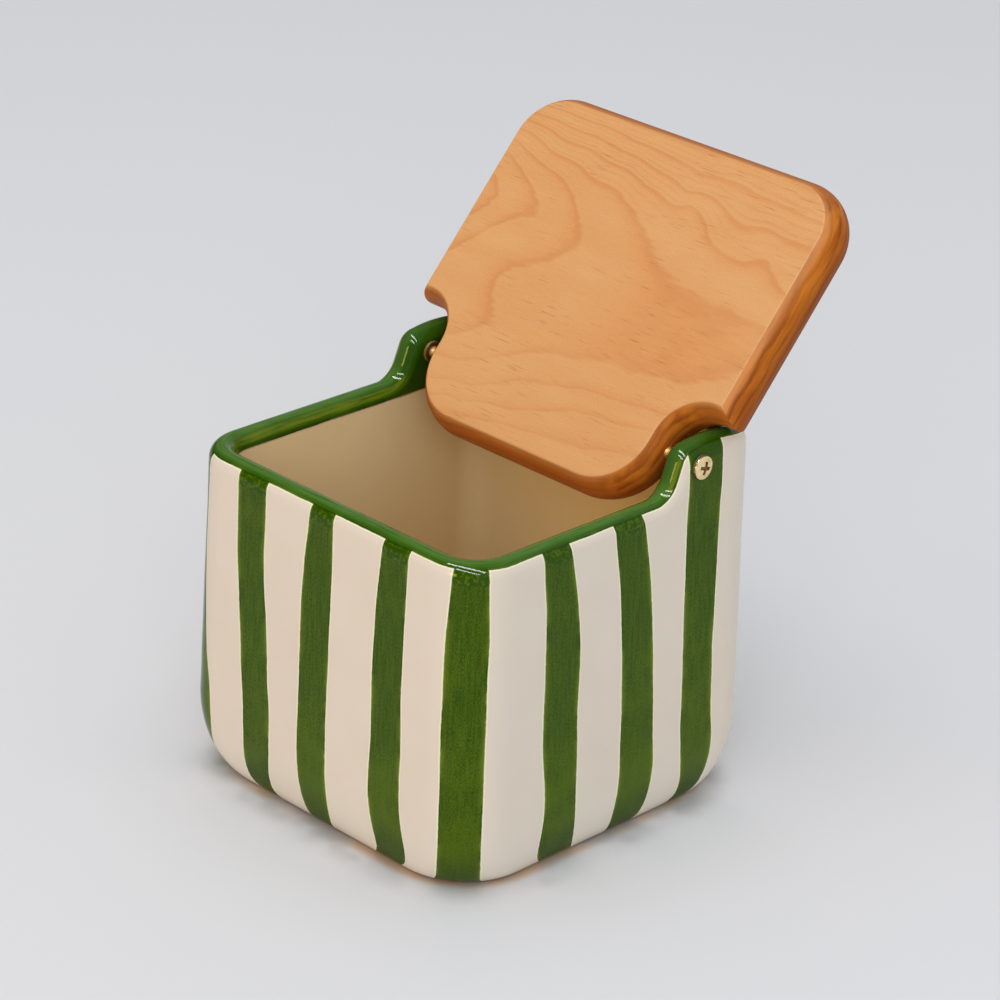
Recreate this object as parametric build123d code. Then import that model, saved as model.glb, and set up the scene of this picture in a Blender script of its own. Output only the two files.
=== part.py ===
from build123d import *
from math import cos, radians, sin
import os

# Salt box with a hinged lid. Millimetres, +Z up, origin at the centre of the flat base.
# The low front wall is towards -Y and the hinge is towards +Y. The lid is open, leaning back.

# Ceramic box
BODY_WIDTH = 120.0            # outside width along X, at the low rim
BODY_DEPTH = 119.6            # outside depth along Y, at the low rim
LOW_RIM_Z = 103.5             # top of the front wall and of the front of the side walls
STEP_FOOT_Y = 18.5            # where the side walls step up to the hinge ears
STEP_HEAD = (23.8, 116.9)     # Y, Z of the step's upper corner
CROWN = (37.8, 119.2)         # Y, Z of the highest point of the ears
REAR_RIM = (75.0, 111.2)      # Y, Z that the rear of the rim falls towards
STEP_FOOT_RADIUS = 7.3
STEP_HEAD_RADIUS = 6.6
CROWN_RADIUS = 50.0
WALL = 8.5
FLOOR = 8.0
DRAFT = 0.0184                # sideways spread of a wall for each unit below the low rim
CORNER_RADIUS = 16.5
INNER_CORNER_RADIUS = 8.0
FOOT_HEIGHT = 24.0            # below this height the walls curve in
FOOT_INSET = 7.3
FOOT_SECTIONS = 7
RIM_ROUND = 4.1               # rounding of the rim, inside and outside
RIM_SPARE = 8.0               # height of the walls above the crown before the rim is cut

# Hinge axis, along X
PIVOT_Y = 30.2
PIVOT_Z = 110.9
LID_OPEN = 131.6              # degrees from closed to open

# Sleeve in each ear
BUSH_OUTSIDE = 5.4
BUSH_BORE = 3.64
BUSH_FLANGE = 6.6
BUSH_FLANGE_THICK = 0.9

# Pivot screw and the washer under its head
SHANK = 3.5                   # the plain shank and the outside of the thread
THREAD_ROOT = 2.6
THREAD_PITCH = 1.4
SCREW_LENGTH = 30.0           # below the head
PLAIN_LENGTH = 10.6           # plain shank, which turns in the sleeve
POINT_LENGTH = 3.4
HEAD_DIAMETER = 7.0
HEAD_EDGE = 0.6               # height of the head's straight side
HEAD_HEIGHT = 1.3
RECESS_SPAN = 4.0
RECESS_WIDTH = 1.1
RECESS_TURN = 74.0            # degrees from +Y up to an arm of the cross, with the lid open
RECESS_DEPTH = 0.9
HEAD_GAP = 0.1                # running gap between the head and the washer
WASHER_OUTSIDE = 7.6
WASHER_BORE = 3.8
WASHER_THICK = 0.4

# Lid, measured on its flat underside, which is smaller than the bulging edge
LID_THICK = 15.0
LID_BULGE = 3.2               # how far the convex edge stands out at half thickness
LID_HALF_WIDTH = 60.5
LID_REACH = 86.6              # from the pivot to the front
LID_CORNER = 14.5
UNDERSIDE_DROP = 6.9          # the pivot's height above the underside
SHOULDER_REACH = 17.1         # from the pivot to the shoulders beside the ears
TAIL_HALF_WIDTH = 43.9
TAIL_REACH = 17.4             # from the pivot to the end of the tail
TAIL_CORNER = 17.0
NOTCH_CORNER = 14.5
LID_SPARE = 40.0              # length of the cutting forms beyond the lid
EDGE_ROOT = 2.0               # depth to which the edge strip is sunk in the board
PILOT = 2.6                   # hole for the screw's thread


def rounded_section(half_x, half_y, radius, z):
    """Rounded rectangle at height z."""
    return Plane.XY.offset(z) * RectangleRounded(2 * half_x, 2 * half_y, radius)


def spread(z):
    """How far a straight wall at height z stands outside its place at the low rim."""
    return DRAFT * (LOW_RIM_Z - z)


def tub(inset, base_z, corner):
    """The box's outer form moved in by inset, with straight walls above a curved foot."""
    half_x = BODY_WIDTH / 2 - inset
    half_y = BODY_DEPTH / 2 - inset
    foot = []
    for step in range(FOOT_SECTIONS):
        turn = radians(90 * step / (FOOT_SECTIONS - 1))
        z = FOOT_HEIGHT - (FOOT_HEIGHT - base_z) * cos(turn)
        pulled_in = FOOT_INSET * (1 - sin(turn))
        reach = spread(FOOT_HEIGHT) - pulled_in
        foot.append(rounded_section(half_x + reach, half_y + reach, corner + pulled_in, z))
    walls = []
    for z in (FOOT_HEIGHT, CROWN[1] + RIM_SPARE):
        walls.append(rounded_section(half_x + spread(z), half_y + spread(z), corner, z))
    return loft(foot) + loft(walls, ruled=True)


def above_rim():
    """Block above the rim. Its lower face is the rim's line seen from the side."""
    front = -BODY_DEPTH
    top = 2 * LOW_RIM_Z
    rim_line = FilletPolyline(
        (front, LOW_RIM_Z),
        (STEP_FOOT_Y, LOW_RIM_Z),
        STEP_HEAD,
        CROWN,
        REAR_RIM,
        radius=[STEP_FOOT_RADIUS, STEP_HEAD_RADIUS, CROWN_RADIUS],
    )
    closing = Polyline(REAR_RIM, (REAR_RIM[0], top), (front, top), (front, LOW_RIM_Z))
    side_view = make_face(Plane.YZ * (rim_line + closing))
    return extrude(side_view, amount=BODY_WIDTH, both=True)


def is_rim_top(face):
    """True for a face of the cut rim, before its edges are rounded."""
    return face.center().Z > LOW_RIM_Z - 1 and abs(face.normal_at().X) < 0.01


def border_edges(faces):
    """The edges round a strip of faces, without those between two of them."""
    found = {}
    for face in faces:
        for edge in face.edges():
            centre = edge.center()
            place = (round(centre.X, 2), round(centre.Y, 2), round(centre.Z, 2))
            found.setdefault(place, []).append(edge)
    return [edges[0] for edges in found.values() if len(edges) == 1]


def on_pivot(radius, x_from, x_to):
    """Cylinder on the pivot axis between two X values."""
    start = Plane(origin=(x_from, PIVOT_Y, PIVOT_Z), x_dir=(0, 1, 0), z_dir=(1, 0, 0))
    return extrude(start * Circle(radius), amount=x_to - x_from)


def ear_outside():
    """X of the plane the right washer lies on: the outer face at the washer's lowest point."""
    return BODY_WIDTH / 2 + spread(PIVOT_Z - WASHER_OUTSIDE / 2)


def ear_inside():
    """X of the plane the right flange lies on: the inner face at the flange's highest point."""
    return BODY_WIDTH / 2 - WALL + spread(PIVOT_Z + BUSH_FLANGE / 2)


def ceramic_body():
    """Thick-walled box with a rounded rim that steps up to the two hinge ears and the rear wall."""
    body = tub(0, 0, CORNER_RADIUS) - tub(WALL, FLOOR, INNER_CORNER_RADIUS) - above_rim()
    body = fillet(border_edges(body.faces().filter_by(is_rim_top)), RIM_ROUND)
    return body - on_pivot(BUSH_OUTSIDE / 2, -BODY_WIDTH, BODY_WIDTH)


def pivot_bush():
    """Right sleeve. Its flange lies on the inner face of the ear."""
    inside = ear_inside()
    sleeve = on_pivot(BUSH_OUTSIDE / 2, inside, ear_outside())
    flange = on_pivot(BUSH_FLANGE / 2, inside - BUSH_FLANGE_THICK, inside)
    return sleeve + flange - on_pivot(BUSH_BORE / 2, 0, BODY_WIDTH)


def head_washer():
    """Right washer, on the outer face of the ear."""
    outside = ear_outside()
    disc = on_pivot(WASHER_OUTSIDE / 2, outside, outside + WASHER_THICK)
    return disc - on_pivot(WASHER_BORE / 2, 0, BODY_WIDTH)


def thread_profile():
    """Half section of the shank and its thread ridges, from the head's underside to the point."""
    root = THREAD_ROOT / 2
    crest = SHANK / 2
    points = [(0, 0), (0, crest), (-PLAIN_LENGTH, crest), (-PLAIN_LENGTH - (crest - root), root)]
    ridge_from = PLAIN_LENGTH + THREAD_PITCH / 2
    while ridge_from + THREAD_PITCH < SCREW_LENGTH - POINT_LENGTH:
        points.append((-ridge_from, root))
        points.append((-ridge_from - 0.4 * THREAD_PITCH, crest))
        points.append((-ridge_from - 0.5 * THREAD_PITCH, crest))
        points.append((-ridge_from - 0.9 * THREAD_PITCH, root))
        ridge_from += THREAD_PITCH
    points.append((-SCREW_LENGTH + POINT_LENGTH, root))
    points.append((-SCREW_LENGTH, 0))
    return make_face(Polyline(*points, close=True))


def head_profile():
    """Half section of the pan head."""
    rim = HEAD_DIAMETER / 2
    side = Polyline((HEAD_HEIGHT, 0), (0, 0), (0, rim), (HEAD_EDGE, rim))
    shoulder = HEAD_EDGE + 0.75 * (HEAD_HEIGHT - HEAD_EDGE)
    crown = ThreePointArc((HEAD_EDGE, rim), (shoulder, rim / 2), (HEAD_HEIGHT, 0))
    return make_face(side + crown)


def pivot_screw():
    """Right screw, with its head outside the ear and its thread in the lid's tail."""
    shank = revolve(thread_profile(), Axis.X, 360)
    head = revolve(head_profile(), Axis.X, 360)
    recess_floor = Plane(origin=(HEAD_HEIGHT - RECESS_DEPTH, 0, 0), x_dir=(0, 1, 0), z_dir=(1, 0, 0))
    recess = Part()
    for across, along in ((RECESS_SPAN, RECESS_WIDTH), (RECESS_WIDTH, RECESS_SPAN)):
        recess += extrude(recess_floor * Rectangle(across, along), amount=2 * RECESS_DEPTH)
    screw = shank + head - Rot(RECESS_TURN, 0, 0) * recess
    return Pos(ear_outside() + WASHER_THICK + HEAD_GAP, PIVOT_Y, PIVOT_Z) * screw


def board_with_bulge(path, closing_points, underside_z):
    """Board bounded by a path and some far points, with a convex edge along the path.

    The path runs with the board on its left.
    """
    closing = Polyline(path @ 1, *closing_points, path @ 0)
    board = extrude(make_face(path + closing), amount=LID_THICK, dir=(0, 0, 1))
    tangent = path % 0
    outward = tangent.cross(Vector(0, 0, 1))
    section_plane = Plane(origin=path @ 0, x_dir=outward, z_dir=tangent * -1)
    flat = Polyline((0, 0), (-EDGE_ROOT, 0), (-EDGE_ROOT, LID_THICK), (0, LID_THICK))
    curved = ThreePointArc((0, LID_THICK), (LID_BULGE, LID_THICK / 2), (0, 0))
    edge_strip = sweep(section_plane * make_face(flat + curved), path=path)
    return Pos(0, 0, underside_z) * (board + edge_strip)


def closed_lid():
    """Lid lying on the low rim: a wide board whose tail passes between the ears."""
    underside_z = PIVOT_Z - UNDERSIDE_DROP
    front = PIVOT_Y - LID_REACH
    back = PIVOT_Y + LID_SPARE
    side = LID_HALF_WIDTH
    sides_path = FilletPolyline(
        (-side, back), (-side, front), (side, front), (side, back), radius=LID_CORNER
    )
    wide = board_with_bulge(sides_path, [], underside_z)

    shoulder = PIVOT_Y - SHOULDER_REACH
    tail_end = PIVOT_Y + TAIL_REACH
    tail = TAIL_HALF_WIDTH
    far_x = side + LID_SPARE
    far_y = front - LID_SPARE
    tail_path = FilletPolyline(
        (far_x, shoulder),
        (tail, shoulder),
        (tail, tail_end),
        (-tail, tail_end),
        (-tail, shoulder),
        (-far_x, shoulder),
        radius=[NOTCH_CORNER, TAIL_CORNER, TAIL_CORNER, NOTCH_CORNER],
    )
    tailed = board_with_bulge(tail_path, [(-far_x, far_y), (far_x, far_y)], underside_z)
    return wide & tailed


def lid():
    """Lid in its open place, with a pilot hole in each side of its tail."""
    tip = ear_outside() + WASHER_THICK + HEAD_GAP - SCREW_LENGTH
    board = closed_lid()
    board -= on_pivot(PILOT / 2, tip, BODY_WIDTH)
    board -= on_pivot(PILOT / 2, -BODY_WIDTH, -tip)
    return board.rotate(Axis((0, PIVOT_Y, PIVOT_Z), (1, 0, 0)), -LID_OPEN)


def save(node, solid):
    export_step(solid, os.path.join("parts", node + ".step"))


def save_pair(name, right_solid):
    """Write the right piece and its mirror image, the left piece."""
    save(name + "_right", right_solid)
    save(name + "_left", mirror(right_solid, about=Plane.YZ))


os.makedirs("parts", exist_ok=True)
save("ceramic_body", ceramic_body())
save("lid", lid())
save_pair("pivot_screw", pivot_screw())
save_pair("pivot_bush", pivot_bush())
save_pair("head_washer", head_washer())
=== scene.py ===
from math import acos, asin, atan2, cos, hypot, pi, radians, sin, sqrt, tan

import bmesh
import bpy
import numpy as np
from mathutils import Matrix, Vector, kdtree, noise
from mathutils.geometry import delaunay_2d_cdt


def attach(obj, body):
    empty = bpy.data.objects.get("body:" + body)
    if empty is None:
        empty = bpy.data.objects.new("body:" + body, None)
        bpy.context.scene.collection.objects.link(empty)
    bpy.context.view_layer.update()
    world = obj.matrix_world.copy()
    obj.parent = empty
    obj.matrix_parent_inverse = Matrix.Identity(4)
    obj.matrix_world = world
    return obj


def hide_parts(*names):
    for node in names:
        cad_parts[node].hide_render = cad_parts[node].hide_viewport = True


# Looks of a glazed salt box with a hinged wooden lid. Lengths are millimetres until a mesh is
# made, and the frame's metres after that. The lid is open, leaning back, as in the CAD.
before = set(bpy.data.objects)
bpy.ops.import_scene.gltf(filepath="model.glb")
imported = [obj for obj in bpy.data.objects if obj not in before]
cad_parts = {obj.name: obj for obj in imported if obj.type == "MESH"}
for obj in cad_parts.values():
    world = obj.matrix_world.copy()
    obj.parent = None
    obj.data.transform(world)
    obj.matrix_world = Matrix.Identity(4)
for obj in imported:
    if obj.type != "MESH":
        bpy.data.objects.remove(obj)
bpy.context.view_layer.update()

MM = 0.001

# ---------------------------------------------------------------- sizes of the ceramic box
HALF_WIDTH = 60.0             # outside, along X, at the low rim
HALF_DEPTH = 59.8             # outside, along Y, at the low rim
LOW_RIM_Z = 103.5
WALL = 8.5
FLOOR_Z = 8.0
CORNER_RADIUS = 16.5
DRAFT = 0.0184                # sideways spread of a wall for each unit below the low rim
FOOT_Z = 24.0                 # below this height the walls curve in
FOOT_INSET = 7.3
OUTLINE_SPREAD = 0.6          # spread at mid-height, where places round the wall are measured
STEP_FOOT = (18.5, LOW_RIM_Z)  # Y, Z of the corners of the rim's line, seen from the side
STEP_HEAD = (23.8, 116.9)
CROWN = (37.8, 119.2)
REAR_RIM = (75.0, 111.2)
STEP_FOOT_RADIUS = 7.3
STEP_HEAD_RADIUS = 6.6
CROWN_RADIUS = 50.0
RIM_HALF_WIDTH = WALL / 2     # the rim's cross-section is half an ellipse
RIM_HEIGHT = 4.4
RIM_ARC = pi * (RIM_HALF_WIDTH + RIM_HEIGHT) / 2   # length of that half ellipse, nearly
LEAN_Z = (40, 80)             # the wall starts to follow the rim's slope between these heights
UNEVENNESS = 0.35             # the most that the skin lies inside its true form
PIVOT = (30.2, 110.9)         # Y, Z of the hinge axis
BUSH_HOLE = 5.4
HEAD_RADIUS = 3.5             # the screws' heads
HEAD_CROWN = 0.7              # how far a head's middle stands above its edge
HEAD_TOP = 61.734             # X of the top of a head
SHAFT_SHADE_X = (58.0, 57.0)  # further in than this, a screw is darker brass

# ---------------------------------------------------------------- sizes of the lid, closed
LID_OPEN = 131.6              # degrees from closed to open
LID_THICK = 15.0
LID_BULGE = 3.2
LID_HALF_WIDTH = 60.5
LID_REACH = 86.6
LID_CORNER = 14.5
UNDERSIDE_DROP = 6.9
SHOULDER_REACH = 17.1
TAIL_HALF_WIDTH = 43.9
TAIL_REACH = 17.4
TAIL_CORNER = 17.0
NOTCH_CORNER = 14.5
PILOT_HOLE = 2.6
PILOT_TIP_X = 30.5            # how near the middle the pilot holes reach
ARRIS = 0.9                   # rounding left by sanding where the faces meet the edge
MITRE = 0.5                   # the same on the ridge beside each notch
MITRE_GAP = 1.6               # the side's last column stays this far from the notch's line
FACE_STEP = 1.6               # size of the small triangles that fill the lid's faces

# ---------------------------------------------------------------- camera
CAMERA_AZIMUTH = 44.458
CAMERA_ELEVATION = 24.515
CAMERA_ROLL = 2.467
CAMERA_DISTANCE = 1119.21
CAMERA_AIM = (0.0, 0.0, 54.0)
AIM_PIXEL = (471.035, 605.293)   # where the aim point lies in a picture of 1000 by 1000
FOCAL_PIXELS = 3790.8
PICTURE = 1000
SENSOR = 36.0


# ================================================================ small helpers
def new_object(name, mesh):
    made = bpy.data.objects.new(name, mesh)
    bpy.context.scene.collection.objects.link(made)
    return made


def mesh_from_rows(name, rows, cap_first, cap_last):
    """Closed skin over rows of points. Each row is a loop with the same number of points."""
    count = len(rows[0])
    points = np.concatenate(rows) * MM
    column = np.arange(count)
    following = np.roll(column, -1)
    faces = []
    for row in range(len(rows) - 1):
        low = row * count
        high = low + count
        quads = np.stack([low + column, low + following, high + following, high + column], 1)
        faces.extend(quads.tolist())
    if cap_first:
        faces.append(column[::-1].tolist())
    if cap_last:
        faces.append((column + (len(rows) - 1) * count).tolist())
    mesh = bpy.data.meshes.new(name)
    mesh.from_pydata(points.tolist(), [], faces)
    mesh.update()
    return mesh


def coordinates(mesh):
    values = np.zeros(len(mesh.vertices) * 3)
    mesh.vertices.foreach_get("co", values)
    return values.reshape(-1, 3)


def normals(mesh):
    values = np.zeros(len(mesh.vertices) * 3)
    mesh.vertex_normals.foreach_get("vector", values)
    return values.reshape(-1, 3)


def store(mesh, name, values):
    """Keep one number, or one vector, for each vertex."""
    kind = "FLOAT" if values.ndim == 1 else "FLOAT_VECTOR"
    attribute = mesh.attributes.new(name, kind, "POINT")
    field = "value" if values.ndim == 1 else "vector"
    attribute.data.foreach_set(field, np.ascontiguousarray(values, np.float32).ravel())


def smooth_step(values, start, end):
    t = np.clip((values - start) / (end - start), 0, 1)
    return t * t * (3 - 2 * t)


def rounded_path(corners, radii, step):
    """Points along a line through corners, with each inner corner rounded to its radius."""
    corners = [np.array(c, float) for c in corners]
    points = [corners[0]]
    for before, corner, after, radius in zip(corners, corners[1:], corners[2:], radii):
        back = (before - corner) / np.linalg.norm(before - corner)
        on = (after - corner) / np.linalg.norm(after - corner)
        half_angle = acos(float(np.clip(back @ on, -1, 1))) / 2
        bisector = (back + on) / np.linalg.norm(back + on)
        centre = corner + bisector * radius / sin(half_angle)
        start = corner + back * radius / tan(half_angle) - centre
        end = corner + on * radius / tan(half_angle) - centre
        turn = atan2(start[0] * end[1] - start[1] * end[0], float(start @ end))
        pieces = max(2, int(abs(turn) * radius / step))
        for t in np.linspace(0, turn, pieces + 1):
            spun = (start[0] * cos(t) - start[1] * sin(t), start[0] * sin(t) + start[1] * cos(t))
            points.append(centre + np.array(spun))
    points.append(corners[-1])
    return np.array(points)


def evenly(points, step):
    """The same line with its points about one step apart."""
    lengths = np.concatenate([[0], np.cumsum(np.linalg.norm(np.diff(points, axis=0), axis=1))])
    at = np.linspace(0, lengths[-1], int(round(lengths[-1] / step)) + 1)
    return np.stack([np.interp(at, lengths, points[:, axis]) for axis in range(points.shape[1])], 1)


def drill(piece, diameter, x_from, x_to):
    """Cut a hole along the hinge axis between two X values."""
    bm = bmesh.new()
    bmesh.ops.create_cone(
        bm, cap_ends=True, segments=72, radius1=diameter / 2 * MM, radius2=diameter / 2 * MM,
        depth=(x_to - x_from) * MM,
        matrix=Matrix.Translation(Vector(((x_from + x_to) / 2, *PIVOT)) * MM)
        @ Matrix.Rotation(pi / 2, 4, "Y"),
    )
    mesh = bpy.data.meshes.new("drill")
    bm.to_mesh(mesh)
    bm.free()
    tool = new_object("drill", mesh)
    cut = piece.modifiers.new("hole", "BOOLEAN")
    cut.operation = "DIFFERENCE"
    cut.solver = "MANIFOLD"
    cut.object = tool
    bpy.context.view_layer.update()
    cut_piece = piece.evaluated_get(bpy.context.evaluated_depsgraph_get())
    drilled = bpy.data.meshes.new_from_object(cut_piece)
    piece.modifiers.clear()
    piece.data = drilled
    bpy.data.objects.remove(tool)


# ================================================================ ceramic box
def spread(z):
    return DRAFT * (LOW_RIM_Z - z)


def rim_line():
    """The rim's top line seen from the side: Y, Z and slope."""
    corners = [(-2 * HALF_DEPTH, LOW_RIM_Z), STEP_FOOT, STEP_HEAD, CROWN, REAR_RIM]
    radii = [STEP_FOOT_RADIUS, STEP_HEAD_RADIUS, CROWN_RADIUS]
    line = evenly(rounded_path(corners, radii, 0.1), 0.1)
    slope = np.gradient(line[:, 1], line[:, 0])
    return line[:, 0], line[:, 1], slope


def foot_inset(z):
    """How far the wall's foot is pulled in at height z."""
    share = np.clip(1 - np.asarray(z, float) / FOOT_Z, 0, 1)
    return FOOT_INSET * (1 - np.sqrt(1 - share**2))


def wall_columns():
    """The grid's columns round the wall: for each, its place between the corners' centres
    (-1 to 1 along X and Y) and its outward direction."""
    step = 1.1
    ear_step = 0.45
    corner_columns = 24
    straight = HALF_DEPTH - CORNER_RADIUS
    y, z, _ = rim_line()
    ear_start = STEP_FOOT[0] - STEP_FOOT_RADIUS
    low = (y > -straight) & (y < ear_start)
    ear = (y > ear_start) & (y < straight)
    low_side = evenly(np.stack([y[low], z[low]], 1), step)[:, 0]
    ear_side = evenly(np.stack([y[ear], z[ear]], 1), ear_step)[:, 0]
    side = np.concatenate([low_side[:-1], ear_side]) / straight
    side[0] = -1
    side[-1] = 1
    front = np.linspace(-1, 1, int(2 * straight / step) + 1)
    turns = [
        ((1, -1), -90), ((1, 1), 0), ((-1, 1), 90), ((-1, -1), 180),
    ]
    places = []
    outward = []
    for index, (corner, first) in enumerate(turns):
        run = [front, side, -front, side[::-1]][index]
        for t in run:
            places.append([(t, -1), (1, t), (t, 1), (-1, t)][index])
            outward.append([(0, -1), (1, 0), (0, 1), (-1, 0)][index])
        for k in range(1, corner_columns):
            angle = radians(first + 90 * k / corner_columns)
            places.append(corner)
            outward.append((cos(angle), sin(angle)))
    return np.array(places, float), np.array(outward, float)


def ring(places, outward, inset, radius, z):
    """Rounded rectangle inset from the outer wall at height z, which may differ by column."""
    z = np.broadcast_to(np.asarray(z, float), (len(places),))
    centre_x = HALF_WIDTH - inset - radius + spread(np.maximum(z, FOOT_Z))
    centre_y = HALF_DEPTH - inset - radius + spread(np.maximum(z, FOOT_Z))
    x = places[:, 0] * centre_x + outward[:, 0] * radius
    y = places[:, 1] * centre_y + outward[:, 1] * radius
    return np.stack([x, y, z], 1)


def ceramic_rows():
    """Rows of the box's skin from the base, up the outside, over the rim and down to the floor.

    Also gives, for each row, how far along the skin it lies from where the rim's rounding
    begins outside."""
    places, outward = wall_columns()
    line_y, line_z, line_slope = rim_line()
    middle = ring(places, outward, WALL / 2, CORNER_RADIUS - WALL / 2, LOW_RIM_Z)
    top = np.interp(middle[:, 1], line_y, line_z)
    middle = ring(places, outward, WALL / 2, CORNER_RADIUS - WALL / 2, top)
    slope = np.interp(middle[:, 1], line_y, line_slope)
    along = np.stack([-outward[:, 1], outward[:, 0]], 1)
    climb = slope * along[:, 1]
    up = np.concatenate([-climb[:, None] * along, np.ones((len(places), 1))], 1)
    up /= np.sqrt(1 + climb**2)[:, None]
    level = np.concatenate([outward, (slope * outward[:, 1])[:, None]], 1)
    shift = np.concatenate([-RIM_HEIGHT * up[:, :2], np.zeros((len(places), 1))], 1)

    def rim_point(turn):
        return (
            middle
            + RIM_HALF_WIDTH * cos(turn) * level
            - RIM_HEIGHT * (1 - sin(turn)) * up
        )

    rows = []
    travel = []
    outer_top = rim_point(0)[:, 2]
    inner_top = rim_point(pi)[:, 2]
    inner_radius = CORNER_RADIUS - WALL

    for extra in (6.0, 2.0):
        rows.append(ring(places, outward, FOOT_INSET + extra, CORNER_RADIUS + FOOT_INSET, 0.0))
        travel.append(-outer_top - extra)
    foot_rows = 18
    for k in range(foot_rows):
        turn = radians(90 * k / foot_rows)
        z = FOOT_Z * (1 - cos(turn))
        inset = FOOT_INSET * (1 - sin(turn))
        rows.append(ring(places, outward, inset, CORNER_RADIUS + inset, z))
        travel.append(z - outer_top)
    wall_rows = 72
    for k in range(wall_rows):
        z = FOOT_Z + (outer_top - FOOT_Z) * k / wall_rows
        lean = shift * smooth_step(z, *LEAN_Z)[:, None]
        rows.append(ring(places, outward, 0, CORNER_RADIUS, z) + lean)
        travel.append(z - outer_top)
    rim_rows = 44
    for k in range(rim_rows + 1):
        rows.append(rim_point(pi * k / rim_rows))
        travel.append(np.full(len(places), RIM_ARC * k / rim_rows))
    for k in range(1, wall_rows + 1):
        z = inner_top + (FOOT_Z - inner_top) * k / wall_rows
        lean = shift * smooth_step(z, *LEAN_Z)[:, None]
        rows.append(ring(places, outward, WALL, inner_radius, z) + lean)
        travel.append(RIM_ARC + inner_top - z)
    for k in range(foot_rows - 1, -1, -1):
        turn = radians(90 * k / foot_rows)
        z = FOOT_Z - (FOOT_Z - FLOOR_Z) * cos(turn)
        inset = FOOT_INSET * (1 - sin(turn))
        rows.append(ring(places, outward, WALL + inset, inner_radius + inset, z))
        travel.append(RIM_ARC + inner_top - z)
    edge = rows[-1]
    for share in (0.85, 0.7, 0.5, 0.3, 0.12):
        row = edge * np.array([share, share, 1])
        rows.append(row)
        travel.append(RIM_ARC + inner_top)
    return rows, travel, places, outward


def make_ceramic():
    rows, travel, places, outward = ceramic_rows()
    mesh = mesh_from_rows("glazed_box", rows, cap_first=True, cap_last=True)
    points = coordinates(mesh) / MM
    outward_all = np.tile(outward, (len(rows), 1))
    places_all = np.tile(places, (len(rows), 1))
    travel_all = np.concatenate(travel)
    # Sponged by hand: the skin lies up to a fraction of a millimetre inside its true form.
    away_from_ears = 1 - smooth_step(points[:, 2], 96, 104)
    off_base = smooth_step(points[:, 2], 1, 8)
    shift = Vector((7, 3, 1))
    waves = np.array([
        0.5 + 0.5 * noise.noise(Vector(p) / 34) + 0.16 * noise.noise(Vector(p) / 9 + shift)
        for p in points
    ])
    sink = UNEVENNESS * np.clip(waves, 0, 1) * (0.25 + 0.75 * away_from_ears) * off_base
    on_ear = smooth_step(points[:, 1], 12, 20) * smooth_step(points[:, 2], 100, 104)
    sink *= 1 - on_ear
    points -= normals(mesh) * sink[:, None]
    mesh.vertices.foreach_set("co", (points * MM).ravel())
    mesh.update()
    box = new_object("glazed_box", mesh)
    drill(box, BUSH_HOLE, -2 * HALF_WIDTH, 2 * HALF_WIDTH)

    tree = kdtree.KDTree(len(points))
    for index, point in enumerate(points):
        tree.insert(point, index)
    tree.balance()
    cut_points = coordinates(box.data) / MM
    nearest = np.array([tree.find(point)[1] for point in cut_points])
    place = perimeter_place(cut_points, places_all[nearest], outward_all[nearest])
    paint_box(box.data, cut_points, place, travel_all[nearest])
    for polygon in box.data.polygons:
        polygon.use_smooth = True
    box.data.set_sharp_from_angle(angle=radians(50))
    return box


# ---------------------------------------------------------------- painted pattern
def perimeter_place(points, places, outward):
    """Distance round the wall from the middle of the front, positive towards +X.

    It is measured as if every level had the outline of the wall's middle, so a stripe that
    keeps its place spreads and narrows with the wall."""
    straight_x = HALF_WIDTH + OUTLINE_SPREAD - CORNER_RADIUS
    straight_y = HALF_DEPTH + OUTLINE_SPREAD - CORNER_RADIUS
    quarter = CORNER_RADIUS * pi / 2
    side_start = straight_x + quarter
    rear_start = side_start + 2 * straight_y
    on_side = np.abs(outward[:, 0]) > 0.999
    on_end = np.abs(outward[:, 1]) > 0.999
    at_front = places[:, 1] < 0
    turn = np.arctan2(np.abs(outward[:, 0]), np.abs(outward[:, 1])) * CORNER_RADIUS
    half_depth_here = HALF_DEPTH - CORNER_RADIUS + spread(np.maximum(points[:, 2], FOOT_Z))
    half_depth_here = half_depth_here - 2 * foot_inset(points[:, 2])
    along_side = np.clip(points[:, 1] / half_depth_here, -1, 1)
    place = np.where(at_front, straight_x + turn, rear_start + quarter - turn)
    place = np.where(on_side, side_start + (along_side + 1) * straight_y, place)
    on_end_place = np.abs(places[:, 0]) * straight_x
    rear_place = rear_start + quarter + straight_x - on_end_place
    place = np.where(on_end, np.where(at_front, on_end_place, rear_place), place)
    return place * np.where(places[:, 0] < 0, -1, 1)


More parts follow.
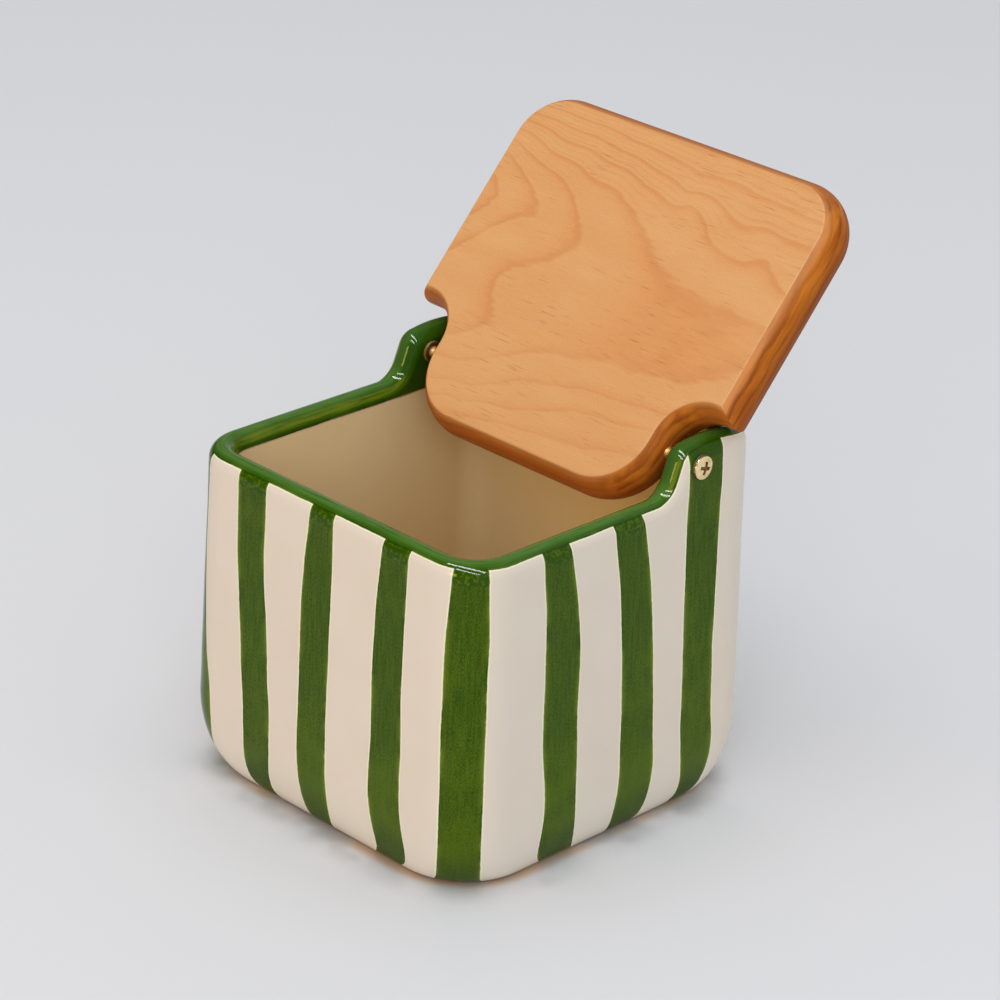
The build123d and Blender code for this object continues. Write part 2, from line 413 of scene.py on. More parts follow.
# Stripe edges, as places round the wall at five heights, left edge and right edge
STRIPE_HEIGHTS = (4, 15, 45, 80, 102)
STRIPES = (
    ((-35.8, -32.2, -33.0, -36.3, -36.9), (-24.8, -20.9, -21.6, -24.7, -24.8)),
    ((-7.7, -7.8, -8.1, -7.8, -5.8), (4.3, 4.1, 3.5, 4.1, 3.8)),
    ((27.0, 23.1, 22.2, 22.3, 24.5), (40.5, 36.2, 34.3, 34.3, 35.1)),
    ((50.8, 50.0, 49.4, 49.9, 51.3), (61.5, 62.2, 62.2, 62.3, 61.6)),
    ((82.3, 85.0, 83.8, 83.3, 81.2), (98.6, 98.4, 97.4, 96.2, 91.9)),
    ((116.1, 115.9, 115.3, 113.0, 109.7), (131.0, 130.0, 128.2, 125.6, 121.6)),
    ((148.0, 143.0, 140.5, 140.3, 140.0), (158.5, 155.5, 152.9, 153.5, 154.0)),
    ((190.0, 192.0, 193.0, 192.0, 192.5), (205.0, 205.5, 205.0, 204.5, 205.0)),
    ((221.0, 221.5, 221.0, 222.0, 222.0), (233.5, 234.5, 234.0, 234.5, 234.0)),
    ((250.0, 250.5, 251.0, 250.0, 250.5), (265.0, 263.0, 263.0, 263.5, 262.5)),
    ((-62.5, -61.5, -62.0, -62.6, -61.8), (-52.0, -46.9, -49.5, -52.5, -51.4)),
    ((-98.0, -97.0, -96.0, -95.0, -93.5), (-84.5, -83.5, -83.0, -82.5, -81.8)),
    ((-129.0, -127.0, -126.0, -124.5, -122.5), (-115.5, -114.0, -113.5, -112.0, -110.5)),
    ((-159.0, -155.0, -153.0, -153.0, -153.5), (-147.0, -142.0, -140.5, -140.0, -140.0)),
)
BAND_START = 0.24             # share of the rim's rounding, from outside, that stays bare
BAND_INSIDE_Z = 99.0          # the green goes down to here inside the low walls and the ears


def edge_at(z, values):
    """Smooth line through an edge's five places, at any height."""
    knots = np.array(STRIPE_HEIGHTS, float)
    values = np.array(values, float)
    slopes = np.gradient(values, knots)
    z = np.clip(z, knots[0], knots[-1])
    index = np.clip(np.searchsorted(knots, z, side="right") - 1, 0, len(knots) - 2)
    width = knots[index + 1] - knots[index]
    t = (z - knots[index]) / width
    a = values[index] * (1 + 2 * t) * (1 - t) ** 2
    b = slopes[index] * width * t * (1 - t) ** 2
    c = values[index + 1] * t * t * (3 - 2 * t)
    d = slopes[index + 1] * width * t * t * (t - 1)
    return a + b + c + d


def paint_box(mesh, points, place, travel):
    """Store how deep each point lies in the green: positive inside it, in millimetres."""
    z = points[:, 2]
    length = 4 * (HALF_WIDTH + HALF_DEPTH + 2 * OUTLINE_SPREAD) - (8 - 2 * pi) * CORNER_RADIUS
    stripe = np.full(len(points), -50.0)
    for left, right in STRIPES:
        for lap in (-length, 0, length):
            inside = np.minimum(place + lap - edge_at(z, left), edge_at(z, right) - place - lap)
            stripe = np.maximum(stripe, inside)
    outside = travel < RIM_ARC / 2
    stripe = np.where(outside, stripe, -50.0)
    band_outside = travel - RIM_ARC * BAND_START
    ramp = smooth_step(points[:, 1], 36, 50)
    line_y, line_z, _ = rim_line()
    rim_here = np.interp(points[:, 1], line_y, line_z) - RIM_HEIGHT - 0.6
    lower = BAND_INSIDE_Z + (rim_here - BAND_INSIDE_Z) * ramp
    band_inside = z - lower
    band = np.where(outside, band_outside, band_inside)
    store(mesh, "stripe", stripe)
    store(mesh, "band", band)
    store(mesh, "inside", smooth_step(travel, RIM_ARC * 0.9, RIM_ARC * 1.1))
    store(mesh, "brush", np.stack([place, travel, np.zeros(len(points))], 1))
    store(mesh, "height", z)


# ================================================================ lid
# Growth lines on the lid's underside as it lies closed: each ring's number, and the X and Y of
# points on its line. Where rings are wide, a few points lie between two lines, at a fraction.
GROWTH_LINES = (
    (6.0, ((-54.5, -53.2), (-37.0, -53.2), (-18.2, -52.2), (0.5, -51.1), (25.5, -50.5),
           (59.9, -48.2))),
    (5.0, ((-57.0, -49.8), (-37.0, -49.2), (-20.8, -48.0), (-5.8, -46.1), (5.5, -44.5),
           (10.5, -43.0), (18.0, -44.0), (25.5, -42.0), (33.0, -39.5), (41.8, -40.8),
           (50.5, -39.8), (60.5, -40.5))),
    (4.0, ((-49.5, -46.4), (-30.8, -44.9), (-14.5, -43.0), (-4.5, -40.2), (3.0, -38.9),
           (9.2, -37.6), (13.0, -39.2), (18.0, -38.0), (23.0, -35.2), (26.8, -31.5),
           (33.0, -29.5), (40.5, -29.0), (48.0, -31.8), (51.8, -29.9), (59.2, -25.2))),
    (3.0, ((-54.5, -43.2), (-43.2, -39.9), (-25.8, -37.1), (-14.5, -36.0), (-8.2, -33.5),
           (0.5, -29.2), (8.0, -25.2), (14.2, -20.2), (20.5, -18.5), (31.8, -16.0),
           (44.2, -14.8), (60.5, -13.5))),
    (2.0, ((-54.5, -38.0), (-43.2, -35.1), (-34.5, -33.0), (-27.0, -29.0), (-20.8, -23.5),
           (-15.4, -17.8), (-18.2, -10.8), (-24.5, -5.5), (-33.0, -1.1), (-36.4, 4.5),
           (-33.9, 9.5), (-29.2, 15.8), (-35.1, 21.4), (-43.2, 25.5))),
    (1.0, ((-58.2, -34.8), (-50.8, -31.1), (-43.2, -27.4), (-37.6, -23.6), (-35.4, -20.2),
           (-38.2, -17.2), (-44.5, -14.6), (-49.5, -10.5), (-53.2, -6.1), (-57.2, -1.1))),
    (0.0, ((-59.8, -27.4), (-55.8, -24.5), (-53.8, -21.1), (-55.1, -16.8), (-58.9, -12.0))),
    (3.0, ((-43.2, 32.2), (-33.2, 31.0), (-24.5, 27.6), (-15.8, 23.2), (-8.2, 20.1), (3.0, 17.8),
           (13.0, 15.9), (25.5, 14.9), (34.2, 13.5), (45.5, 12.2))),
    (4.0, ((-38.2, 39.1), (-24.5, 36.6), (-15.8, 33.2), (-9.5, 29.8), (0.5, 27.8), (8.0, 26.0),
           (15.5, 24.6), (25.5, 23.9), (43.0, 22.6))),
    (5.0, ((-32.6, 42.8), (-20.8, 40.8), (-8.2, 39.0), (0.5, 36.6), (8.0, 34.1), (15.5, 31.5),
           (25.5, 30.5), (35.5, 29.5), (43.0, 28.2))),
    (6.0, ((-20.8, 46.0), (-8.2, 43.9), (3.0, 42.8), (15.5, 42.0), (25.5, 40.8), (43.0, 37.2))),
    (2.4, ((-5.8, -16.8), (-12.0, -1.8), (-20.8, 7.0), (0.5, -3.0))),
    (2.6, ((-2.0, 7.0), (8.0, -10.5))),
    (2.85, ((25.5, -5.5), (15.5, 0.8), (33.0, 4.5), (44.2, -3.0), (54.2, 0.8), (25.5, 9.5))),
    (1.35, ((-47.0, 7.0), (-54.5, 7.0))),
)
RINGS_BY_HEIGHT = 0.23        # rings passed for each millimetre of the board's thickness
END_RING = 3.1                # millimetres of height between the rings on the lid's ends
PORE_PATCH = ((27, 1), (30, 17))   # X, Y of the middle of the patch with pores, and half its size


def ring_field(points):
    """Ring numbers at points of the closed lid: a thin plate bent through the growth lines."""
    size = 50.0
    knots = np.array([p for _, line in GROWTH_LINES for p in line]) / size
    values = np.array([number for number, line in GROWTH_LINES for _ in line])
    count = len(knots)

    def plate(distances):
        return distances**2 * np.log(np.maximum(distances, 1e-9))

    def flat(places):
        return np.concatenate([np.ones((len(places), 1)), places], 1)

    system = np.zeros((count + 3, count + 3))
    gaps = np.linalg.norm(knots[:, None] - knots[None], axis=-1)
    softness = 2e-4
    system[:count, :count] = plate(gaps) + softness * np.eye(count)
    system[:count, count:] = flat(knots)
    system[count:, :count] = flat(knots).T
    weights = np.linalg.solve(system, np.concatenate([values, np.zeros(3)]))
    places = points[:, :2] / size
    gaps = np.linalg.norm(places[:, None] - knots[None], axis=-1)
    ring = plate(gaps) @ weights[:count] + flat(places) @ weights[count:]
    return ring + RINGS_BY_HEIGHT * points[:, 2]


def fill_outline(outline, step):
    """Points inside an outline, about one step apart, and the triangles that join them to it."""
    low = outline.min(0) + step / 2
    high = outline.max(0)
    columns = np.arange(low[0], high[0], step)
    rows = np.arange(low[1], high[1], step)
    grid = np.stack(np.meshgrid(columns, rows), -1).reshape(-1, 2)
    clear = np.linalg.norm(grid[:, None] - outline[None], axis=-1).min(1) > 0.7 * step
    grid = grid[clear]
    count = len(outline)
    loop = [(k, (k + 1) % count) for k in range(count)]
    everything = np.concatenate([outline, grid])
    made = delaunay_2d_cdt([Vector(p) for p in everything], loop, [], 1, 1e-5)
    source = [origin[0] for origin in made[3]]
    triangles = [tuple(source[v] for v in face) for face in made[2]]
    used = sorted({v for face in triangles for v in face if v >= count})
    renumber = {v: count + k for k, v in enumerate(used)}
    triangles = [tuple(renumber.get(v, v) for v in face) for face in triangles]
    return everything[used], triangles


def lid_outline():
    """Columns of the lid's outline at its flat underside: point, and how it moves as the edge
    bulges by one millimetre."""
    front = PIVOT[0] - LID_REACH
    shoulder = PIVOT[0] - SHOULDER_REACH
    tail_end = PIVOT[0] + TAIL_REACH
    step = 1.2
    columns = []

    def straight(start, end, direction):
        count = max(2, int(hypot(end[0] - start[0], end[1] - start[1]) / step))
        for k in range(count):
            t = k / count
            point = (start[0] + (end[0] - start[0]) * t, start[1] + (end[1] - start[1]) * t)
            columns.append((point, direction))

    def arc(centre, radius, first, last, bulge_sign, moves_with=None):
        count = max(6, int(abs(radians(last - first)) * radius / step))
        for k in range(count):
            angle = radians(first + (last - first) * k / count)
            way = (cos(angle), sin(angle))
            point = (centre[0] + radius * way[0], centre[1] + radius * way[1])
            moved = moves_with or (bulge_sign * way[0], bulge_sign * way[1])
            columns.append((point, moved))

    side = LID_HALF_WIDTH
    straight((0, front), (side - LID_CORNER, front), (0, -1))
    arc((side - LID_CORNER, front + LID_CORNER), LID_CORNER, -90, 0, 1)
    straight((side, front + LID_CORNER), (side, shoulder - MITRE_GAP), (1, 0))
    arc((side - MITRE, shoulder - MITRE), MITRE, 0, 90, 1, moves_with=(1, 1))
    notch_centre = (TAIL_HALF_WIDTH + NOTCH_CORNER, shoulder + NOTCH_CORNER)
    arc(notch_centre, NOTCH_CORNER, 270, 180, -1)
    straight((TAIL_HALF_WIDTH, notch_centre[1]), (TAIL_HALF_WIDTH, tail_end - TAIL_CORNER), (1, 0))
    arc((TAIL_HALF_WIDTH - TAIL_CORNER, tail_end - TAIL_CORNER), TAIL_CORNER, 0, 90, 1)
    straight((TAIL_HALF_WIDTH - TAIL_CORNER, tail_end), (0, tail_end), (0, 1))
    right = list(columns)
    left = [((-p[0], p[1]), (-m[0], m[1])) for p, m in right[1:]]
    middle_back = ((0.0, tail_end), (0.0, 1.0))
    whole = right + [middle_back] + left[::-1]
    return np.array([p for p, _ in whole]), np.array([m for _, m in whole])


def edge_profile():
    """How far the edge stands out, and its height, from the underside to the top."""
    half = LID_THICK / 2
    radius = (half**2 + LID_BULGE**2) / (2 * LID_BULGE)
    centre_out = LID_BULGE - radius
    fillet_out = centre_out + sqrt((radius - ARRIS) ** 2 - (half - ARRIS) ** 2)
    touch = asin((half - ARRIS) / (radius - ARRIS))
    profile = [(fillet_out - 0.9, 0.0), (fillet_out - 0.4, 0.0)]
    arris_steps = 5
    for k in range(arris_steps):
        angle = -pi / 2 + (pi / 2 - touch) * k / arris_steps
        profile.append((fillet_out + ARRIS * cos(angle), ARRIS + ARRIS * sin(angle)))
    arc_steps = 18
    for k in range(arc_steps + 1):
        angle = -touch + 2 * touch * k / arc_steps
        profile.append((centre_out + radius * cos(angle), half + radius * sin(angle)))
    upper = [(out, LID_THICK - height) for out, height in profile[: 2 + arris_steps]]
    return profile + upper[::-1]


def fill_faces(mesh, underside, top):
    """Close the lid's skin with two faces made of small triangles, for the grain."""
    inner, triangles = fill_outline(underside[:, :2], FACE_STEP)
    count = len(underside)
    skin = len(mesh.vertices)
    bm = bmesh.new()
    bm.from_mesh(mesh)
    for row, first, flip in ((underside, 0, True), (top, skin - count, False)):
        bm.verts.ensure_lookup_table()
        numbers = [bm.verts[first + k] for k in range(count)]
        for x, y in inner:
            numbers.append(bm.verts.new((x * MM, y * MM, row[0][2] * MM)))
        for triangle in triangles:
            corners = [numbers[v] for v in triangle]
            bm.faces.new(corners[::-1] if flip else corners)
    bm.to_mesh(mesh)
    bm.free()
    mesh.update()


def make_lid():
    points, moves = lid_outline()
    rows = []
    for out, height in edge_profile():
        row = points + out * moves
        z = np.full((len(row), 1), PIVOT[1] - UNDERSIDE_DROP + height)
        rows.append(np.concatenate([row, z], 1))
    mesh = mesh_from_rows("lid_board", rows, cap_first=False, cap_last=False)
    fill_faces(mesh, rows[0], rows[-1])
    board = new_object("lid_board", mesh)
    drill(board, PILOT_HOLE, PILOT_TIP_X, 2 * HALF_WIDTH)
    drill(board, PILOT_HOLE, -2 * HALF_WIDTH, -PILOT_TIP_X)
    mesh = board.data
    closed = coordinates(mesh) / MM
    grain = closed - np.array([0, 0, PIVOT[1] - UNDERSIDE_DROP])
    store(mesh, "board", grain)
    store(mesh, "ring", ring_field(grain))
    direction = normals(mesh)
    off_face = (grain[:, 2] > 0.01) & (grain[:, 2] < LID_THICK - 0.01)
    store(mesh, "end_grain", np.abs(direction[:, 0]) * off_face)
    store(mesh, "edge", (1 - np.abs(direction[:, 2])) * off_face)
    hinge = Vector((0, *PIVOT)) * MM
    opening = (
        Matrix.Translation(hinge)
        @ Matrix.Rotation(radians(-LID_OPEN), 4, "X")
        @ Matrix.Translation(-hinge)
    )
    mesh.transform(opening)
    for polygon in mesh.polygons:
        polygon.use_smooth = True
    mesh.set_sharp_from_angle(angle=radians(40))
    return board


# ================================================================ materials
class Nodes:
    """Short calls for building a material's node tree."""

    def __init__(self, owner):
        """The owner is a new material, or the world."""
        owner.use_nodes = True
        self.owner = owner
        self.tree = owner.node_tree

    def add(self, kind):
        return self.tree.nodes.new("ShaderNode" + kind)

    def put(self, socket, value):
        """Join a socket to another node's output, or write a plain value in it."""
        if isinstance(value, bpy.types.NodeSocket):
            self.tree.links.new(value, socket)
        elif value is not None:
            socket.default_value = value

    def attribute(self, name, output="Fac"):
        node = self.add("Attribute")
        node.attribute_name = name
        return node.outputs[output]

    def coordinates(self, kind="Object"):
        return self.add("TexCoord").outputs[kind]

    def parts(self, vector):
        """The X, Y and Z of a vector."""
        node = self.add("SeparateXYZ")
        self.put(node.inputs[0], vector)
        return tuple(node.outputs)

    def math(self, operation, a, b=None, c=None):
        node = self.add("Math")
        node.operation = operation
        for socket, value in zip(node.inputs, (a, b, c)):
            self.put(socket, value)
        return node.outputs[0]

    def times(self, *factors):
        product = factors[0]
        for factor in factors[1:]:
            product = self.math("MULTIPLY", product, factor)
        return product

    def line(self, value, slope, start):
        """Slope times value, plus start."""
        return self.math("MULTIPLY_ADD", value, slope, start)

    def vector_math(self, operation, a, b=None, c=None):
        node = self.add("VectorMath")
        node.operation = operation
        for socket, value in zip(node.inputs, (a, b, c)):
            self.put(socket, value)
        is_number = operation in ("LENGTH", "DOT_PRODUCT")
        return node.outputs["Value" if is_number else "Vector"]

    def scaled(self, vector, scale, offset=(0, 0, 0)):
        return self.vector_math("MULTIPLY_ADD", vector, scale, offset)

    def noise(self, vector, scale, detail=2.0, roughness=0.5, distortion=0.0):
        node = self.add("TexNoise")
        self.put(node.inputs["Vector"], vector)
        node.inputs["Scale"].default_value = scale
        node.inputs["Detail"].default_value = detail
        node.inputs["Roughness"].default_value = roughness
        node.inputs["Distortion"].default_value = distortion
        return node.outputs["Fac"]

    def ramp(self, value, start, end, low=0.0, high=1.0, shape="SMOOTHSTEP"):
        """Change from low to high as value goes from start to end."""
        node = self.add("MapRange")
        node.interpolation_type = shape
        self.put(node.inputs["Value"], value)
        node.inputs["From Min"].default_value = start
        node.inputs["From Max"].default_value = end
        node.inputs["To Min"].default_value = low
        node.inputs["To Max"].default_value = high
        return node.outputs[0]

    def between(self, value, start, full, full_end, end):
        """Rises from start to full, and falls again from full_end to end."""
        return self.times(self.ramp(value, start, full), self.ramp(value, end, full_end))

    def mix(self, factor, a, b):
        node = self.add("Mix")
        node.data_type = "RGBA"
        self.put(node.inputs["Factor"], factor)
        self.put(node.inputs["A"], a if isinstance(a, bpy.types.NodeSocket) else (*a, 1))
        self.put(node.inputs["B"], b if isinstance(b, bpy.types.NodeSocket) else (*b, 1))
        return node.outputs["Result"]

    def bump(self, height, distance):
        node = self.add("Bump")
        self.put(node.inputs["Height"], height)
        node.inputs["Distance"].default_value = distance
        return node.outputs["Normal"]

    def from_foot(self, position):
        """Distance on the floor from the outline of the box's foot, in metres."""
        radius = (CORNER_RADIUS + FOOT_INSET) * MM
        half = (HALF_WIDTH + spread(FOOT_Z) - FOOT_INSET) * MM - radius
        folded = self.vector_math("ABSOLUTE", position)
        past = self.scaled(folded, (1, 1, 0), (-half, -half, 0))
        beyond = self.vector_math("MAXIMUM", past)
        return self.math("SUBTRACT", self.vector_math("LENGTH", beyond), radius)

    def surface(self, **inputs):
        names = {"ior_level": "Specular IOR Level"}
        for name, value in inputs.items():
            socket = names.get(name, name.replace("_", " ").title())
            self.put(self.tree.nodes["Principled BSDF"].inputs[socket], value)
        return self.owner


def colour(red, green, blue):
    """A colour given as it looks on a screen, 0 to 255, for a shader."""
    def linear(value):
        value /= 255
        return value / 12.92 if value <= 0.04045 else ((value + 0.055) / 1.055) ** 2.4
    return (linear(red), linear(green), linear(blue))


def glaze():
    n = Nodes(bpy.data.materials.new("glaze"))
    brush = n.attribute("brush", "Vector")
    position = n.coordinates()
    stripe = n.attribute("stripe")
    band = n.attribute("band")
    inside = n.attribute("inside")
    height = n.attribute("height")
    over_rim = n.times(n.parts(brush)[1], 1 / RIM_ARC)

    # The brush wanders and leaves slightly ragged edges.
    wander = n.line(n.noise(position, 55, 1), 1.4, -0.7)
    ragged = n.line(n.noise(position, 600, 3), 0.5, -0.25)
    wobble = n.math("ADD", wander, ragged)
    stripe_depth = n.line(wobble, 0.6, stripe)
    band_depth = n.line(wobble, 0.5, band)
    depth = n.math("MAXIMUM", stripe_depth, band_depth)
    green_mask = n.ramp(depth, -0.12, 0.12)

    # Stripes: thinner and yellower low down and near some edges, with a fine woven mottle.
    streaks = n.noise(n.scaled(brush, (1.0, 0.08, 1)), 1.2, 3, 0.6)
    weave = n.noise(n.scaled(brush, (1.0, 0.5, 1)), 2.6, 3, 0.7)
    patches = n.noise(position, 60, 3, 0.6)
    low_down = n.ramp(height, 60, 15, 0.0, 0.14)
    thin = n.times(n.ramp(depth, 2.2, 0.1), n.ramp(patches, 0.42, 0.62))
    body = n.math("ADD", n.times(weave, 0.6), n.times(streaks, 0.4))
    thick_green = n.mix(n.ramp(body, 0.38, 0.64), colour(44, 71, 1), colour(72, 94, 8))
    worn = n.math("ADD", n.line(weave, 0.5, low_down), n.times(patches, 0.5))
    green = n.mix(n.ramp(worn, 0.5, 0.7, 0.0, 0.5), thick_green, colour(86, 106, 16))
    green = n.mix(n.times(thin, 0.5), green, colour(108, 124, 30))
    # Painted shade: the stripes darken towards the foot, below 17 mm.
    green = n.mix(n.ramp(height, 17, 5, 0.0, 0.45), green, colour(34, 56, 2))

    # The brush's first touch, under the band, left a thick dark end with thin yellow specks.
    first_touch = n.times(n.ramp(band_depth, -5.0, -4.2), n.ramp(depth, 0.0, 0.4))
    on_low_rim = n.ramp(height, LOW_RIM_Z + 2.5, LOW_RIM_Z)
    specks = n.ramp(n.noise(position, 900, 3, 0.7), 0.48, 0.64)
    specks = n.times(specks, n.ramp(on_low_rim, 0.0, 1.0, 0.05, 0.45))
    dark_end = n.mix(specks, colour(40, 72, 0), colour(110, 130, 26))
    green = n.mix(n.times(first_touch, 0.8), green, dark_end)

    # Band on the rim, brushed along it: a painted bluish sheen on top, a yellow streak over the
    # inner shoulder, painted shade on its inner side and on the ears, and a painted yellow
    # reflection on the ears' front slope.
    along_rim = n.noise(n.scaled(brush, (0.07, 1.3, 1)), 1.0, 3, 0.6)
    band_green = n.mix(n.ramp(patches, 0.35, 0.7), colour(46, 84, 6), colour(62, 100, 18))
    band_green = n.mix(n.ramp(weave, 0.45, 0.7, 0.0, 0.4), band_green, colour(38, 70, 2))
    # Painted reflection: a bluish sheen along the top of the band.
    painted_sheen_on_top = n.between(over_rim, 0.28, 0.42, 0.56, 0.72)
    painted_sheen_on_top = n.times(painted_sheen_on_top, n.ramp(along_rim, 0.3, 0.6, 0.35, 0.9))
    band_green = n.mix(painted_sheen_on_top, band_green, colour(82, 118, 52))
    shoulder = n.between(over_rim, 0.66, 0.76, 0.84, 0.93)
    shoulder = n.times(shoulder, n.ramp(along_rim, 0.35, 0.6, 0.05, 0.6))
    band_green = n.mix(n.times(shoulder, on_low_rim), band_green, colour(116, 126, 22))
    # Painted shade: the band darkens on its inner side.
    inner_side_shade = n.times(n.ramp(over_rim, 0.86, 0.98), 0.7)
    band_green = n.mix(inner_side_shade, band_green, colour(34, 60, 2))
    # Painted shade: the band is darker on the ears.
    on_ear = n.ramp(height, LOW_RIM_Z, LOW_RIM_Z + 6, 0.0, 0.45)
    band_green = n.mix(on_ear, band_green, colour(32, 66, 6))
    # Painted reflection: a yellow streak on the ears' front slope.
    ear_painted_reflection = n.between(band_depth, 0.5, 0.9, 1.4, 2.2)
    ear_painted_reflection = n.times(ear_painted_reflection, n.ramp(over_rim, 0.45, 0.4, 0.0, 0.6))
    ear_painted_reflection = n.times(ear_painted_reflection, n.ramp(height, LOW_RIM_Z + 0.5, LOW_RIM_Z + 3))
    ear_painted_reflection = n.times(ear_painted_reflection, n.ramp(height, STEP_HEAD[1] - 1, STEP_HEAD[1] - 4))
    band_green = n.mix(ear_painted_reflection, band_green, colour(124, 132, 26))
    in_band = n.ramp(band_depth, -0.1, 0.2)
    green = n.mix(in_band, green, band_green)
    edge_line = n.between(depth, 0.0, 0.15, 0.25, 0.6)
    edge_green = n.mix(n.ramp(patches, 0.44, 0.56), colour(36, 58, 2), colour(112, 128, 34))
    green = n.mix(n.times(edge_line, 0.55), green, edge_green)
    foot_of_band = n.between(band_depth, -0.5, -0.1, 0.1, 0.5)
    green = n.mix(n.times(foot_of_band, 0.6), green, colour(30, 52, 0))

    # White: warm cream with a faint mottle and a pale yellow line beside the paint.
    mottle = n.noise(position, 40, 3, 0.55)
    cream = n.mix(mottle, colour(216, 202, 186), colour(223, 210, 195))
    # Painted light: the cream is paler towards the foot.
    cream = n.mix(n.ramp(height, 28, 8, 0.0, 0.6), cream, colour(228, 216, 203))
    # Painted light and shade: inside the box the cream turns a warm tan for bounced light, and
    # darkens towards the left.
    shade_from_left = n.ramp(n.parts(position)[0], -0.05, 0.02)
    inside_bounce_and_shade = n.mix(shade_from_left, colour(222, 198, 154), colour(244, 218, 162))
    cream = n.mix(inside, cream, inside_bounce_and_shade)
    halo = n.ramp(depth, -0.65, -0.15)
    beside = n.mix(inside, colour(238, 234, 196), colour(150, 84, 40))
    cream = n.mix(n.times(halo, n.ramp(inside, 0.1, 0.5, 0.8, 0.6)), cream, beside)
    clay = n.mix(n.noise(position, 900, 4), colour(176, 140, 104), colour(140, 104, 72))
    glazed = n.mix(green_mask, cream, green)
    bare = n.ramp(height, 0.8, 0.45)
    final = n.mix(bare, glazed, clay)

    ripple = n.noise(position, 160, 2)
    lumps = n.line(green_mask, 0.12, ripple)
    rough = n.line(patches, 0.04, n.ramp(height, 0.1, 0.35, 0.8, 0.05))
    return n.surface(
        base_color=final, roughness=rough, ior_level=0.11, normal=n.bump(lumps, 0.00008)
    )


